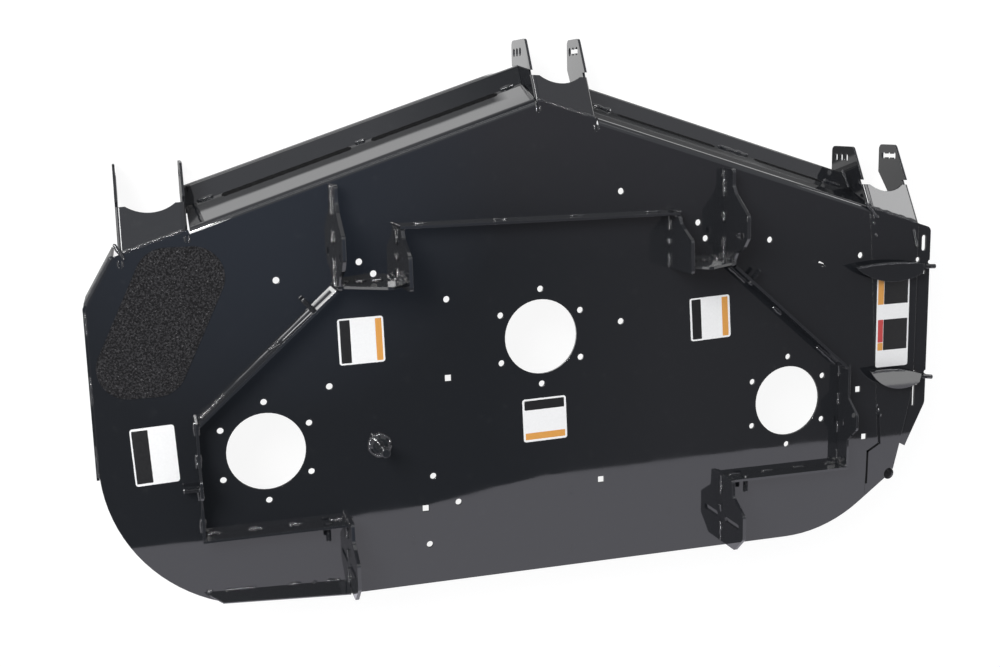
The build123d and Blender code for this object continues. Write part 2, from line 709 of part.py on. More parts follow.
rib_runs = {
    "diagonal_rib_left": [(-diagonal_x0, diagonal_y0), (-diagonal_x1, diagonal_y1)],
    "diagonal_rib_right": [(diagonal_x1, diagonal_y1), (diagonal_x0, diagonal_y0)],
    "side_rib_left": [(-side_rib_x, side_y0), (-side_rib_x, side_y1)],
    "side_rib_right": [(side_rib_x, side_y1), (side_rib_x, side_y0)],
    "rear_rib_left": [(-rear_x1, rear_rib_y), (-rear_x0, rear_rib_y)],
    "rear_rib_right": [(rear_x0, rear_rib_y), (rear_x1, rear_rib_y)],
}
stud_runs = {
    "diagonal_rib_left": (diagonal_stud_x - diagonal_x0) * diagonal_stretch,
    "diagonal_rib_right": (diagonal_x1 - diagonal_stud_x) * diagonal_stretch,
    "side_rib_left": side_y0 - side_stud_y,
    "side_rib_right": side_stud_y - side_y1,
    "rear_rib_left": rear_x1 - rear_stud_x,
    "rear_rib_right": rear_stud_x - rear_x0,
}
lug_runs = {"side_rib_left": side_y0 - lug_y, "side_rib_right": lug_y - side_y1}
for name, (start, stop) in rib_runs.items():
    bar = rib(start, stop, stud_runs[name], lug_runs.get(name))
    bar.label = name
    export_step(bar, "parts/" + name + ".step")

with BuildPart() as front_cross_rib:
    with Locations((0, cross_rib_y + seat, 0)):
        Box(2 * front_inner_x + hanger_stock, rib_stock, rib_height,
            align=(Align.CENTER, Align.CENTER, Align.MIN))
front_cross_rib.part.label = "front_cross_rib"
export_step(front_cross_rib.part, "parts/front_cross_rib.step")

# Ties close the front hangers at the back, highest near the inner one.
for name, sign in (("hanger_tie_left", -1), ("hanger_tie_right", 1)):
    with BuildPart() as tie:
        with BuildSketch(Plane.XZ.offset(-hanger_back_y - tie_step)):
            with BuildLine():
                tie_in = sign * (front_inner_x + hanger_stock / 2 + seat)
                tie_out = sign * (front_outer_x - hanger_stock / 2 - seat)
                peak_in = sign * (front_inner_x + tie_peak_x - tie_peak_width / 2)
                peak_out = sign * (front_inner_x + tie_peak_x + tie_peak_width / 2)
                Polyline((tie_in, 0), (tie_in, tie_inner), (peak_in, tie_peak), (peak_out, tie_peak),
                         (tie_out, tie_outer), (tie_out, 0), close=True)
            make_face()
        extrude(amount=rib_stock)
    tie.part.label = name
    export_step(tie.part, "parts/" + name + ".step")

# The rear flange leans back from its foot line, which turns slightly away from the rear edge.
flange_end = (-rear_hanger_x - hanger_stock / 2 - seat, rear_y + flange_inset)
turn = radians(flange_turn)
lean = radians(flange_lean)
flange_plane = Plane(origin=(flange_end[0], flange_end[1], 0), x_dir=(cos(turn), -sin(turn), 0),
                     z_dir=(-sin(turn) * cos(lean), -cos(turn) * cos(lean), -sin(lean)))
with BuildPart() as rear_flange:
    with BuildSketch(flange_plane):
        with BuildLine():
            Polyline((-flange_length, -sheet), (-flange_length, 0),
                     (flange_slant - flange_length, flange_width_left), (0, flange_width_right), (0, -sheet),
                     close=True)
        make_face()
    extrude(amount=sheet)
    split(bisect_by=Plane.XY, keep=Keep.TOP)
rear_flange.part.label = "rear_flange"
export_step(rear_flange.part, "parts/rear_flange.step")

# Studs, one solid each, all in one group.
with BuildPart() as cover_studs:
    for name, (start, stop) in rib_runs.items():
        plane, length = rib_plane(start, stop)
        inside = plane.from_local_coords((stud_runs[name], stud_z, -rib_stock / 2 - stud_head))
        with Locations(Plane(origin=inside, z_dir=plane.z_dir)):
            Cylinder(stud_head_d / 2, stud_head, align=(Align.CENTER, Align.CENTER, Align.MIN))
            Cylinder(stud_d / 2, stud_head + rib_stock + stud_length,
                     align=(Align.CENTER, Align.CENTER, Align.MIN))
cover_studs.part.label = "cover_studs"
export_step(cover_studs.part, "parts/cover_studs.step")

with BuildPart() as idler_post:
    with Locations((idler_at[0], idler_at[1], 0)):
        Cylinder(idler_collar_d / 2, idler_collar, align=(Align.CENTER, Align.CENTER, Align.MIN))
    chamfer(idler_post.edges().sort_by(Axis.Z)[-1], idler_collar / 2)
    with Locations((idler_at[0], idler_at[1], 0)):
        Cylinder(idler_d / 2, idler_height, align=(Align.CENTER, Align.CENTER, Align.MIN))
    chamfer(idler_post.edges().sort_by(Axis.Z)[-1], idler_tip)
idler_post.part.label = "idler_post"
export_step(idler_post.part, "parts/idler_post.step")

# Foot pad and labels lie on the plate.
with BuildPart() as grip_pad:
    with BuildSketch():
        with BuildLine():
            pad_lean = (pad_front_y - pad_rear_y) / tan(radians(pad_angle))
            Polyline((pad_front_x, pad_front_y), (pad_front_x - pad_lean, pad_rear_y),
                     (pad_front_x - pad_lean + pad_width, pad_rear_y), (pad_front_x + pad_width, pad_front_y),
                     close=True)
        make_face()
        fillet(vertices(), pad_corner)
    extrude(amount=pad_film)
grip_pad.part.label = "grip_pad"
export_step(grip_pad.part, "parts/grip_pad.step")

for name, (at, turn, size) in labels.items():
    with BuildPart() as label:
        with BuildSketch(Plane(origin=(at[0], at[1], 0)).rotated((0, 0, turn))):
            RectangleRounded(size[0], size[1], label_corner)
        extrude(amount=label_film)
    label.part.label = name
    export_step(label.part, "parts/" + name + ".step")
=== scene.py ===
import bpy
import bmesh
import math
import random
from mathutils import Matrix, Vector


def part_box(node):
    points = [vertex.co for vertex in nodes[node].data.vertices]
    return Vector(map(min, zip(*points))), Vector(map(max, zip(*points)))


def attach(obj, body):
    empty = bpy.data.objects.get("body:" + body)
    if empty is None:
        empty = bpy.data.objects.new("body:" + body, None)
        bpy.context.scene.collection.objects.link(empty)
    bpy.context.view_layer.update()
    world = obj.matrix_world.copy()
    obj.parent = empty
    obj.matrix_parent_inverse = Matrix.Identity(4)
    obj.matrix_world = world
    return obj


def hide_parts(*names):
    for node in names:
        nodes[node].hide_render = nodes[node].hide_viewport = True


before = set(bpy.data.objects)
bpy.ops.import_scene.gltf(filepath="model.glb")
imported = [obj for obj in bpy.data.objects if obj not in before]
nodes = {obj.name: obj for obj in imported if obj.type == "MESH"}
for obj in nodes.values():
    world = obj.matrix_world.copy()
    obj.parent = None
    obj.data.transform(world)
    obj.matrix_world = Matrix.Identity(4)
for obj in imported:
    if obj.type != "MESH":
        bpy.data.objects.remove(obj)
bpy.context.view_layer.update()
scene = bpy.context.scene
scene.view_settings.view_transform = "Standard"
print("frame loaded with", len(nodes), "nodes")

# sizes repeated from the part's source, in metres
deck = {"noseY": 0.430, "sweep": math.radians(18), "floorZ": -0.152, "ribStock": 0.0048}


def edgePoint(side, x, ahead, z):
    s = deck["sweep"]
    return Vector((x + ahead * side * math.sin(s),
                   deck["noseY"] - abs(x) * math.tan(s) + ahead * math.cos(s), z))


cameraSetup = {
    "lens": 44.7832, "sensor": 36.0, "place": (-0.702841, 0.418075, 2.147062),
    "turn": ((0.9588136546787507, 0.07271116168518298, -0.27457141615246217),
             (-0.023358386144044407, 0.9835894364079887, 0.17890278472779791),
             (0.283073773773416, -0.16512088769445937, 0.9447773976173808)),
}
cameraData = bpy.data.cameras.new("deckCamera")
cameraData.lens = cameraSetup["lens"]
cameraData.sensor_width = cameraSetup["sensor"]
cameraData.clip_start = 0.05
cameraData.clip_end = 60.0
camera = bpy.data.objects.new("deckCamera", cameraData)
scene.collection.objects.link(camera)
camera.matrix_world = Matrix.Translation(cameraSetup["place"]) @ Matrix(cameraSetup["turn"]).to_4x4()
scene.camera = camera
print("camera set")


def startMaterial(name):
    mat = bpy.data.materials.new(name)
    mat.use_nodes = True
    tree = mat.node_tree
    return mat, tree.nodes, tree.links, tree.nodes["Principled BSDF"]


def noiseNode(nodeSet, links, coords, scale, detail=3.0, rough=0.55):
    tex = nodeSet.new("ShaderNodeTexNoise")
    tex.inputs["Scale"].default_value = scale
    tex.inputs["Detail"].default_value = detail
    tex.inputs["Roughness"].default_value = rough
    links.new(coords, tex.inputs["Vector"])
    return tex.outputs["Fac"]


def rangeNode(nodeSet, links, value, lowIn, highIn, lowOut, highOut):
    ranger = nodeSet.new("ShaderNodeMapRange")
    for key, v in (("From Min", lowIn), ("From Max", highIn), ("To Min", lowOut), ("To Max", highOut)):
        ranger.inputs[key].default_value = v
    links.new(value, ranger.inputs["Value"])
    return ranger.outputs["Result"]


def mathNode(nodeSet, links, operation, first, second):
    made = nodeSet.new("ShaderNodeMath")
    made.operation = operation
    for value, socket in ((first, made.inputs[0]), (second, made.inputs[1])):
        if isinstance(value, float):
            socket.default_value = value
        else:
            links.new(value, socket)
    return made.outputs[0]


def bumpNode(nodeSet, links, height, distance, under=None):
    bump = nodeSet.new("ShaderNodeBump")
    bump.inputs["Distance"].default_value = distance
    links.new(height, bump.inputs["Height"])
    if under is not None:
        links.new(under, bump.inputs["Normal"])
    return bump.outputs["Normal"]


def colourMix(nodeSet, links, fac, first, second):
    mix = nodeSet.new("ShaderNodeMix")
    mix.data_type = "RGBA"
    links.new(fac, mix.inputs[0])
    for value, socket in ((first, mix.inputs[6]), (second, mix.inputs[7])):
        if isinstance(value, tuple):
            socket.default_value = (*value, 1.0)
        else:
            links.new(value, socket)
    return mix.outputs[2]


# gloss black coat: faint waves in the sheet, orange peel, smudges and a little dust; the upright colour is the same
# black painted lighter, as painted light on upright faces
coat = {"plate": (0.0150, 0.0162, 0.0190), "upright": (0.0190, 0.0202, 0.0235), "dust": (0.050, 0.051, 0.053),
        "barEnd": (0.010, 0.010, 0.011), "barShine": 0.06, "roughLow": 0.030, "roughHigh": 0.075, "ior": 1.8,
        "waveScale": 7.0, "waveDepth": 0.00030, "peelScale": 420.0, "peelDepth": 0.000002, "edgeRadius": 0.0009,
        "smudgeScale": 9.0, "dustScale": 45.0, "dustMost": 0.6}


def blackCoat(name, colour, roundEdges):
    mat, nodeSet, links, shader = startMaterial(name)
    coords = nodeSet.new("ShaderNodeTexCoord").outputs["Object"]
    smudge = noiseNode(nodeSet, links, coords, coat["smudgeScale"], 5.0, 0.6)
    links.new(rangeNode(nodeSet, links, smudge, 0.35, 0.80, coat["roughLow"], coat["roughHigh"]),
              shader.inputs["Roughness"])
    grain = noiseNode(nodeSet, links, coords, coat["dustScale"], 6.0, 0.7)
    dustFac = rangeNode(nodeSet, links, grain, 0.60, 0.90, 0.0, coat["dustMost"])
    links.new(colourMix(nodeSet, links, dustFac, colour, coat["dust"]), shader.inputs["Base Color"])
    normal = None
    if roundEdges:
        edge = nodeSet.new("ShaderNodeBevel")
        edge.samples = 4
        edge.inputs["Radius"].default_value = coat["edgeRadius"]
        normal = edge.outputs["Normal"]
    wave = noiseNode(nodeSet, links, coords, coat["waveScale"], 2.0, 0.4)
    peel = noiseNode(nodeSet, links, coords, coat["peelScale"], 2.0, 0.5)
    normal = bumpNode(nodeSet, links, wave, coat["waveDepth"], normal)
    links.new(bumpNode(nodeSet, links, peel, coat["peelDepth"], normal), shader.inputs["Normal"])
    shader.inputs["IOR"].default_value = coat["ior"]
    return mat


coatMat = blackCoat("glossBlackCoat", coat["plate"], True)
# painted light: uprights and weld beads take a lighter copy of the same black coat
paintedLighterUprightMat = blackCoat("glossBlackUprightsPaintedLight", coat["upright"], True)
beadMat = blackCoat("coatedWeld", coat["upright"], False)
labelNodes = ["label_left", "label_right", "label_center", "label_side", "label_discharge"]
coatNodes = [n for n in nodes if n not in labelNodes and n != "grip_pad"]
for n in coatNodes:
    nodes[n].data.materials.clear()
    nodes[n].data.materials.append(paintedLighterUprightMat if "hanger" in n or "rib" in n or n == "idler_post" else coatMat)
# the skirt's end bar is matt
barMat = blackCoat("mattBarEnd", coat["barEnd"], True)
barMat.node_tree.nodes["Principled BSDF"].inputs["Specular IOR Level"].default_value = coat["barShine"]
nodes["skirt_end_bar"].data.materials[0] = barMat
print("coat on", len(coatNodes), "nodes")


def meshFrom(bm, name, smooth):
    for f in bm.faces:
        f.smooth = smooth
    bmesh.ops.recalc_face_normals(bm, faces=bm.faces)
    mesh = bpy.data.meshes.new(name)
    bm.to_mesh(mesh)
    bm.free()
    return mesh


def placePiece(name, mesh, mats, standsFor=None):
    obj = bpy.data.objects.new(name, mesh)
    scene.collection.objects.link(obj)
    for m in mats:
        mesh.materials.append(m)
    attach(obj, "root")
    if standsFor:
        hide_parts(standsFor)
    return obj


# weld beads: rippled runs of weld lying in the corner of each joint
bead = {"sides": 10, "ripple": 0.0034, "step": 0.0009, "depth": 0.24, "wander": 0.10, "sway": 0.14}


def runBead(bm, points, radius, seed, depth):
    rand = random.Random(seed)
    pts = [Vector(p) for p in points]
    legs = [(pts[i], pts[i + 1], (pts[i + 1] - pts[i]).length) for i in range(len(pts) - 1)]
    total = sum(leg[2] for leg in legs)
    count = max(6, int(total / bead["step"]))
    phase = rand.random() * math.tau
    rings = []
    for i in range(count + 1):
        run = total * i / count
        left = run
        for a, b, length in legs:
            if left <= length + 1e-9:
                break
            left -= length
        tangent = (b - a).normalized()
        centre = a + tangent * min(left, length)
        up = Vector((0, 0, 1)) if abs(tangent.z) < 0.9 else Vector((1, 0, 0))
        across = tangent.cross(up).normalized()
        up = across.cross(tangent).normalized()
        ripple = abs(math.sin(phase + math.pi * run / bead["ripple"]))
        calm = min(1.0, depth / bead["depth"])
        size = radius * (1 - depth * (1 - ripple) + calm * bead["wander"] * (rand.random() - 0.5))
        size *= 1 + calm * bead["sway"] * math.sin(run * 210 + phase)
        endGap = min(run, total - run)
        if endGap < radius:
            size *= math.sqrt(max(0.02, 1 - (1 - endGap / radius) ** 2))
        centre = centre + across * radius * calm * 0.12 * math.sin(run * 330 + 2 * phase)
        ring = []
        for k in range(bead["sides"]):
            turn = math.tau * k / bead["sides"]
            ring.append(bm.verts.new(centre + across * size * math.cos(turn) + up * size * math.sin(turn)))
        rings.append(ring)
    for r0, r1 in zip(rings, rings[1:]):
        for k in range(bead["sides"]):
            j = (k + 1) % bead["sides"]
            bm.faces.new((r0[k], r0[j], r1[j], r1[k]))
    bm.faces.new(list(reversed(rings[0])))
    bm.faces.new(rings[-1])


def beadPiece(name, runs, depth=bead["depth"]):
    bm = bmesh.new()
    for i, (points, radius) in enumerate(runs):
        runBead(bm, points, radius, name + str(i), depth)
    return placePiece(name, meshFrom(bm, name, True), [beadMat])


# stitches between each front wall and the channel below it
stitch = {"left": [(-0.5875, -0.5595), (-0.306, -0.2875), (-0.033, -0.006)],
          "right": [(0.127, 0.1675), (0.388, 0.4535), (0.621, 0.660)],
          "ahead": 0.0318, "z": -0.0868, "radius": 0.0040}
runs = []
for side, key in ((-1, "left"), (1, "right")):
    for x0, x1 in stitch[key]:
        runs.append(([edgePoint(side, x, stitch["ahead"], stitch["z"]) for x in (x0, x1)], stitch["radius"]))
beadPiece("weldFrontStitches", runs)

# painted shade: dark strips between the stitches stand in for the shadowed open gap between wall foot and channel
# ledge, and a dark line along the discharge seam stands in for the shade in that seam
gapShade = {"dischargeLine": [(0.7195, -0.2772), (0.6963, -0.2903), (0.6950, -0.3560)], "lineHalf": 0.0022,
           "lineThick": 0.00025, "steps": 60, "endRound": 0.006, "wobble": 0.05,
           "spans": [(-1, -0.547, -0.316), (-1, -0.279, -0.042), (1, 0.178, 0.378), (1, 0.464, 0.612)],
           "top": -0.0705, "foot": -0.0845, "wallAt": (0.0284, -0.0810), "lean": 0.353, "lift": (0.0001, 0.0006),
           "dark": (0.0035, 0.0035, 0.0040), "dust": (0.012, 0.012, 0.012)}


# painted shade for the seams: near-black with faint flecks
def gapMaterial():
    mat, nodeSet, links, shader = startMaterial("seamPaintedShade")
    coords = nodeSet.new("ShaderNodeTexCoord").outputs["Object"]
    fleck = noiseNode(nodeSet, links, coords, 160.0, 4.0, 0.6)
    fac = rangeNode(nodeSet, links, fleck, 0.45, 0.75, 0.0, 1.0)
    links.new(colourMix(nodeSet, links, fac, gapShade["dark"], gapShade["dust"]), shader.inputs["Base Color"])
    shader.inputs["Roughness"].default_value = 0.8
    shader.inputs["Specular IOR Level"].default_value = 0.1
    return mat


bm = bmesh.new()
for side, x0, x1 in gapShade["spans"]:
    steps = gapShade["steps"]
    half = (gapShade["top"] - gapShade["foot"]) / 2
    rings = []
    for i in range(steps + 1):
        x = x0 + (x1 - x0) * i / steps
        endGap = min(x - x0, x1 - x) / gapShade["endRound"]
        wide = math.sqrt(max(0.04, 1 - (1 - min(endGap, 1.0)) ** 2))
        wide = half * (wide + gapShade["wobble"] * math.sin(310 * x))
        ring = []
        for turn, lift in ((1, 0), (1, 1), (-1, 1), (-1, 0)):
            z = (gapShade["top"] + gapShade["foot"]) / 2 + turn * wide
            out = gapShade["wallAt"][0] + (gapShade["wallAt"][1] - z) * gapShade["lean"] + gapShade["lift"][lift]
            ring.append(bm.verts.new(edgePoint(side, x, out, z)))
        rings.append(ring)
    for r0, r1 in zip(rings, rings[1:]):
        for k in range(4):
            j = (k + 1) % 4
            bm.faces.new((r0[k], r0[j], r1[j], r1[k]))
    bm.faces.new(list(reversed(rings[0])))
    bm.faces.new(rings[-1])
# painted shade: the dark line along the discharge seam
line = [Vector((*p, 0.0)) for p in gapShade["dischargeLine"]]
for a, b in zip(line, line[1:]):
    across = (b - a).normalized().cross(Vector((0, 0, 1))) * gapShade["lineHalf"]
    reach = (b - a).normalized() * gapShade["lineHalf"]
    low = [bm.verts.new(p) for p in (a - reach - across, b + reach - across, b + reach + across, a - reach + across)]
    high = [bm.verts.new(v.co + Vector((0, 0, gapShade["lineThick"]))) for v in low]
    bm.faces.new(high)
    bm.faces.new(list(reversed(low)))
    for k in range(4):
        j = (k + 1) % 4
        bm.faces.new((low[k], low[j], high[j], high[k]))
placePiece("seamGapShadeStrips", meshFrom(bm, "seamGapShadeStrips", False), [gapMaterial()])

# beads where the bracket webs meet the plate's front edge, and at the tabs of the ears
webBead = {"radius": 0.0040, "z": -0.0030, "left": (-0.7285, -0.6260), "center": (0.0030, 0.1130),
           "right": (0.6920, 0.7930), "tabBack": 0.016, "tabHalf": 0.005, "tabRadius": 0.0024,
           "ears": (-0.73201, -0.62151, 0.0023, 0.1128, 0.6903),
           "corner": [((-0.7407, 0.2105, -0.001), (-0.7239, 0.1830, 0.0004)),
                      ((0.6575, 0.2789, -0.060), (0.6745, 0.2424, -0.060)),
                      ((0.6735, 0.2184, 0.0004), (0.7038, 0.1855, 0.0004)),
                      ((0.7846, 0.1598, 0.0004), (0.7950, 0.1229, 0.0004))],
           "cornerRadius": 0.0036}
runs = []
for side, key in ((-1, "left"), (1, "center"), (1, "right")):
    runs.append(([edgePoint(side, x, 0.001, webBead["z"]) for x in webBead[key]], webBead["radius"]))
for x in webBead["ears"]:
    y = deck["noseY"] - abs(x) * math.tan(deck["sweep"]) - webBead["tabBack"]
    for dx in (-0.0035, 0.0035):
        runs.append(([(x + dx, y - webBead["tabHalf"], -0.0004), (x + dx, y + webBead["tabHalf"], -0.0004)],
                     webBead["tabRadius"]))
for a, b in webBead["corner"]:
    runs.append(([a, b], webBead["cornerRadius"]))
beadPiece("weldBracketEdges", runs)

# beads along the feet of the hangers
hangerBead = {"radius": 0.0040, "out": 0.0012, "spans": ((0.01, 0.30), (0.44, 0.56), (0.70, 0.99))}
runs = []
for n in ("front_hanger_outer_left", "front_hanger_outer_right", "front_hanger_inner_left",
          "front_hanger_inner_right", "rear_hanger_left", "rear_hanger_right"):
    low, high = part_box(n)
    span = high.y - low.y
    for x in (low.x - hangerBead["out"], high.x + hangerBead["out"]):
        for a, b in hangerBead["spans"]:
            runs.append(([(x, low.y + a * span, 0.0006), (x, low.y + b * span, 0.0006)], hangerBead["radius"]))
beadPiece("weldHangerFeet", runs)

# beads along the feet of the ribs and ties
ribBead = {"radius": 0.0032, "out": 0.0008, "length": 0.026, "at": (0.08, 0.36, 0.64, 0.92)}
runs = []
for n in ("side_rib_left", "side_rib_right"):
    low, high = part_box(n)
    for x in (low.x - ribBead["out"], high.x + ribBead["out"]):
        for f in ribBead["at"]:
            y = low.y + f * (high.y - low.y)
            runs.append(([(x, y - ribBead["length"] / 2, 0.0005), (x, y + ribBead["length"] / 2, 0.0005)],
                         ribBead["radius"]))
for n in ("rear_rib_left", "rear_rib_right", "front_cross_rib", "hanger_tie_left", "hanger_tie_right"):
    low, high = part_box(n)
    for y in (low.y - ribBead["out"], high.y + ribBead["out"]):
        for f in ribBead["at"]:
            x = low.x + f * (high.x - low.x)
            half = min(ribBead["length"], 0.2 * (high.x - low.x)) / 2
            runs.append(([(x - half, y, 0.0005), (x + half, y, 0.0005)], ribBead["radius"]))
diagonal = {"top": (0.3785, 0.1120), "foot": (0.6235, -0.1035), "spans": ((0.01, 0.16), (0.40, 0.48), (0.80, 0.98))}
for side in (-1, 1):
    top = Vector((side * diagonal["top"][0], diagonal["top"][1], 0.0005))
    foot = Vector((side * diagonal["foot"][0], diagonal["foot"][1], 0.0005))
    away = (foot - top).normalized().cross(Vector((0, 0, 1))) * (deck["ribStock"] / 2 + ribBead["out"])
    for shift in (away, -away):
        for a, b in diagonal["spans"][1 if side < 0 else 0:]:
            runs.append(([top.lerp(foot, a) + shift, top.lerp(foot, b) + shift], ribBead["radius"]))
beadPiece("weldRibFeet", runs)

# dressed fillet along the foot of the left diagonal, thinner toward its lower end
fillet = {"out": (0.0044, 0.0026), "slope": 1.913, "from": 0.02, "to": 0.97, "steps": 80, "sink": 0.0003}
top = Vector((-diagonal["top"][0], diagonal["top"][1], 0.0))
foot = Vector((-diagonal["foot"][0], diagonal["foot"][1], 0.0))
outward = Vector((0, 0, 1)).cross(top - foot).normalized()
bm = bmesh.new()
rings = []
for i in range(fillet["steps"] + 1):
    share = i / fillet["steps"]
    root = top.lerp(foot, fillet["from"] + (fillet["to"] - fillet["from"]) * share) + outward * deck["ribStock"] / 2
    wide = fillet["out"][0] + (fillet["out"][1] - fillet["out"][0]) * share + 0.0002 * math.sin(37 * share)
    high = wide / fillet["slope"]
    belly = outward * (0.52 * wide) + Vector((0, 0, 0.52 * high))
    inside = outward * -fillet["sink"]
    section = (Vector((0, 0, high)) + inside, belly, outward * wide, Vector((0, 0, -fillet["sink"])) + inside)
    rings.append([bm.verts.new(root + p) for p in section])
for r0, r1 in zip(rings, rings[1:]):
    for k in range(4):
        j = (k + 1) % 4
        bm.faces.new((r0[k], r0[j], r1[j], r1[k]))
bm.faces.new(list(reversed(rings[0])))
bm.faces.new(rings[-1])
placePiece("weldDiagonalFillet", meshFrom(bm, "weldDiagonalFillet", False), [beadMat])

# upright beads in the corners between ribs, ties and hangers
upright = {"radius": 0.0034, "corners": [(0.2575, 0.2135, 0.033), (0.2655, 0.1245, 0.066), (0.3690, 0.1245, 0.050),
                                        (0.3770, 0.1165, 0.033), (0.6250, -0.1050, 0.033), (0.6255, -0.3060, 0.033),
                                        (0.3760, -0.3060, 0.033), (0.2655, 0.2200, 0.033)]}
runs = []
for side in (-1, 1):
    for x, y, top in upright["corners"]:
        runs.append(([(side * x, y, 0.001), (side * x, y, top)], upright["radius"]))
beadPiece("weldUprights", runs)

# stitches along the foot of the leaning rear flange
flangeBead = {"end": (-0.375475, -0.42201), "turn": math.radians(2.2), "ahead": 0.0012, "radius": 0.0030,
              "spans": ((-0.630, -0.618), (-0.597, -0.543), (-0.486, -0.463), (-0.442, -0.4345), (-0.4185, -0.3917))}
runs = []
for x0, x1 in flangeBead["spans"]:
    pts = [(x, flangeBead["end"][1] + (flangeBead["end"][0] - x) * math.tan(flangeBead["turn"]) + flangeBead["ahead"],
            0.0005) for x in (x0, x1)]
    runs.append((pts, flangeBead["radius"]))
beadPiece("weldFlangeFoot", runs)

# beads on the side wall's top corner and the dots along the discharge seam
sideBead = {"radius": 0.0026, "x": -0.7940,
            "spans": ((0.100, 0.060), (-0.010, -0.060), (-0.130, -0.186)),
            "seam": [(0.6849, 0.212), (0.6945, 0.176), (0.7005, 0.152), (0.7127, -0.1947), (0.7175, -0.205),
                     (0.7227, -0.2165)]}
runs = []
for y0, y1 in sideBead["spans"]:
    runs.append(([(sideBead["x"], y0, -0.0012), (sideBead["x"], y1, -0.0012)], sideBead["radius"]))
for x, y in sideBead["seam"]:
    runs.append(([(x, y - 0.004, 0.0), (x + 0.001, y + 0.004, 0.0)], sideBead["radius"]))
beadPiece("weldEdgesAndSeam", runs)
# the corner seam is dressed smooth and hides the side wall's top
cornerSeam = {"start": (-0.7440, 0.1893), "stop": (-0.7925, 0.1085), "z": -0.0050, "radius": 0.0054, "depth": 0.04}
beadPiece("weldCornerSeam", [([(*cornerSeam["start"], cornerSeam["z"]), (*cornerSeam["stop"], cornerSeam["z"])],
                              cornerSeam["radius"])], cornerSeam["depth"])
# beads along the edges of the chute arms
armBead = {"radius": 0.0022,
           "front": [(0.648, 0.0915, 0.0240), (0.673, 0.0950, 0.0243), (0.705, 0.0968, 0.0246), (0.745, 0.0966, 0.0246),
                     (0.775, 0.0948, 0.0244)],
           "rear": [(0.688, -0.1212, 0.0240), (0.711, -0.1200, 0.0241), (0.738, -0.1204, 0.0240),
                    (0.762, -0.1222, 0.0239)]}
beadPiece("weldChuteArms", [(armBead["front"], armBead["radius"]), (armBead["rear"], armBead["radius"])])
# painted shade: a sheet of the black coat under the open slot of the discharge seam keeps the slot dark, standing in
# for the shade seen through it
slotShadeSheet = {"outline": [(0.7085, -0.2085), (0.7285, -0.2085), (0.7310, -0.2400), (0.7330, -0.2840), (0.7125, -0.2840),
                       (0.7100, -0.2400)], "top": -0.00465, "foot": -0.0070}
bm = bmesh.new()
low = [bm.verts.new((x, y, slotShadeSheet["foot"])) for x, y in slotShadeSheet["outline"]]
high = [bm.verts.new((x, y, slotShadeSheet["top"])) for x, y in slotShadeSheet["outline"]]
bm.faces.new(high)
bm.faces.new(list(reversed(low)))
for i in range(len(low)):
    j = (i + 1) % len(low)
    bm.faces.new((low[i], low[j], high[j], high[i]))
bmesh.ops.bevel(bm, geom=list(bm.edges), offset=0.0004, segments=2, affect="EDGES")
placePiece("seamSlotShadeSheet", meshFrom(bm, "seamSlotShadeSheet", False), [coatMat])

# ring of weld round the idler post, and the plug welds of the baffle
idlerBead = {"at": (-0.3095, -0.1760), "ring": 0.0190, "radius": 0.0042}
ringPts = [(idlerBead["at"][0] + idlerBead["ring"] * math.cos(math.tau * i / 24),
            idlerBead["at"][1] + idlerBead["ring"] * math.sin(math.tau * i / 24), 0.0004) for i in range(25)]
beadPiece("weldIdlerRing", [(ringPts, idlerBead["radius"])])
plugs = {"at": [(0.0540, -0.294), (0.0540, -0.308), (0.2565, -0.362), (0.2565, -0.370), (0.0525, -0.414),
                (0.0525, -0.424), (-0.2535, -0.356), (-0.2535, -0.368)], "radius": 0.0020}
beadPiece("weldPlugs", [([(x, y - 0.0022, -0.0009), (x, y + 0.0022, -0.0009)], plugs["radius"])
                        for x, y in plugs["at"]])
print("weld beads made")


# outline of a flat CAD piece's top face, in order round its middle
def topOutline(n):
    mesh = nodes[n].data
    high = max(v.co.z for v in mesh.vertices)
    flat = {(round(v.co.x, 6), round(v.co.y, 6)) for v in mesh.vertices if v.co.z > high - 1e-5}
    cx = (min(p[0] for p in flat) + max(p[0] for p in flat)) / 2
    cy = (min(p[1] for p in flat) + max(p[1] for p in flat)) / 2
    return sorted(flat, key=lambda p: math.atan2(p[1] - cy, p[0] - cx)), (cx, cy)


def prism(bm, outline, z0, z1, matIndex=0):
    low = [bm.verts.new((x, y, z0)) for x, y in outline]
    high = [bm.verts.new((x, y, z1)) for x, y in outline]
    made = [bm.faces.new(high), bm.faces.new(list(reversed(low)))]
    for i in range(len(outline)):
        j = (i + 1) % len(outline)
        made.append(bm.faces.new((low[i], low[j], high[j], high[i])))
    for f in made:
        f.material_index = matIndex


# grip pad: a thin base with loose grit bedded in it; a share of grains in a pale grit are painted highlights standing
# in for glints
pad = {"base": 0.00055, "grains": 13000, "size": (0.0006, 0.0011), "inset": 0.0012, "glint": 0.07,
       "dark": (0.0190, 0.0185, 0.0203), "light": (0.105, 0.102, 0.104), "bed": (0.0190, 0.0185, 0.0203),
       "rim": 0.0007, "clump": 300.0}


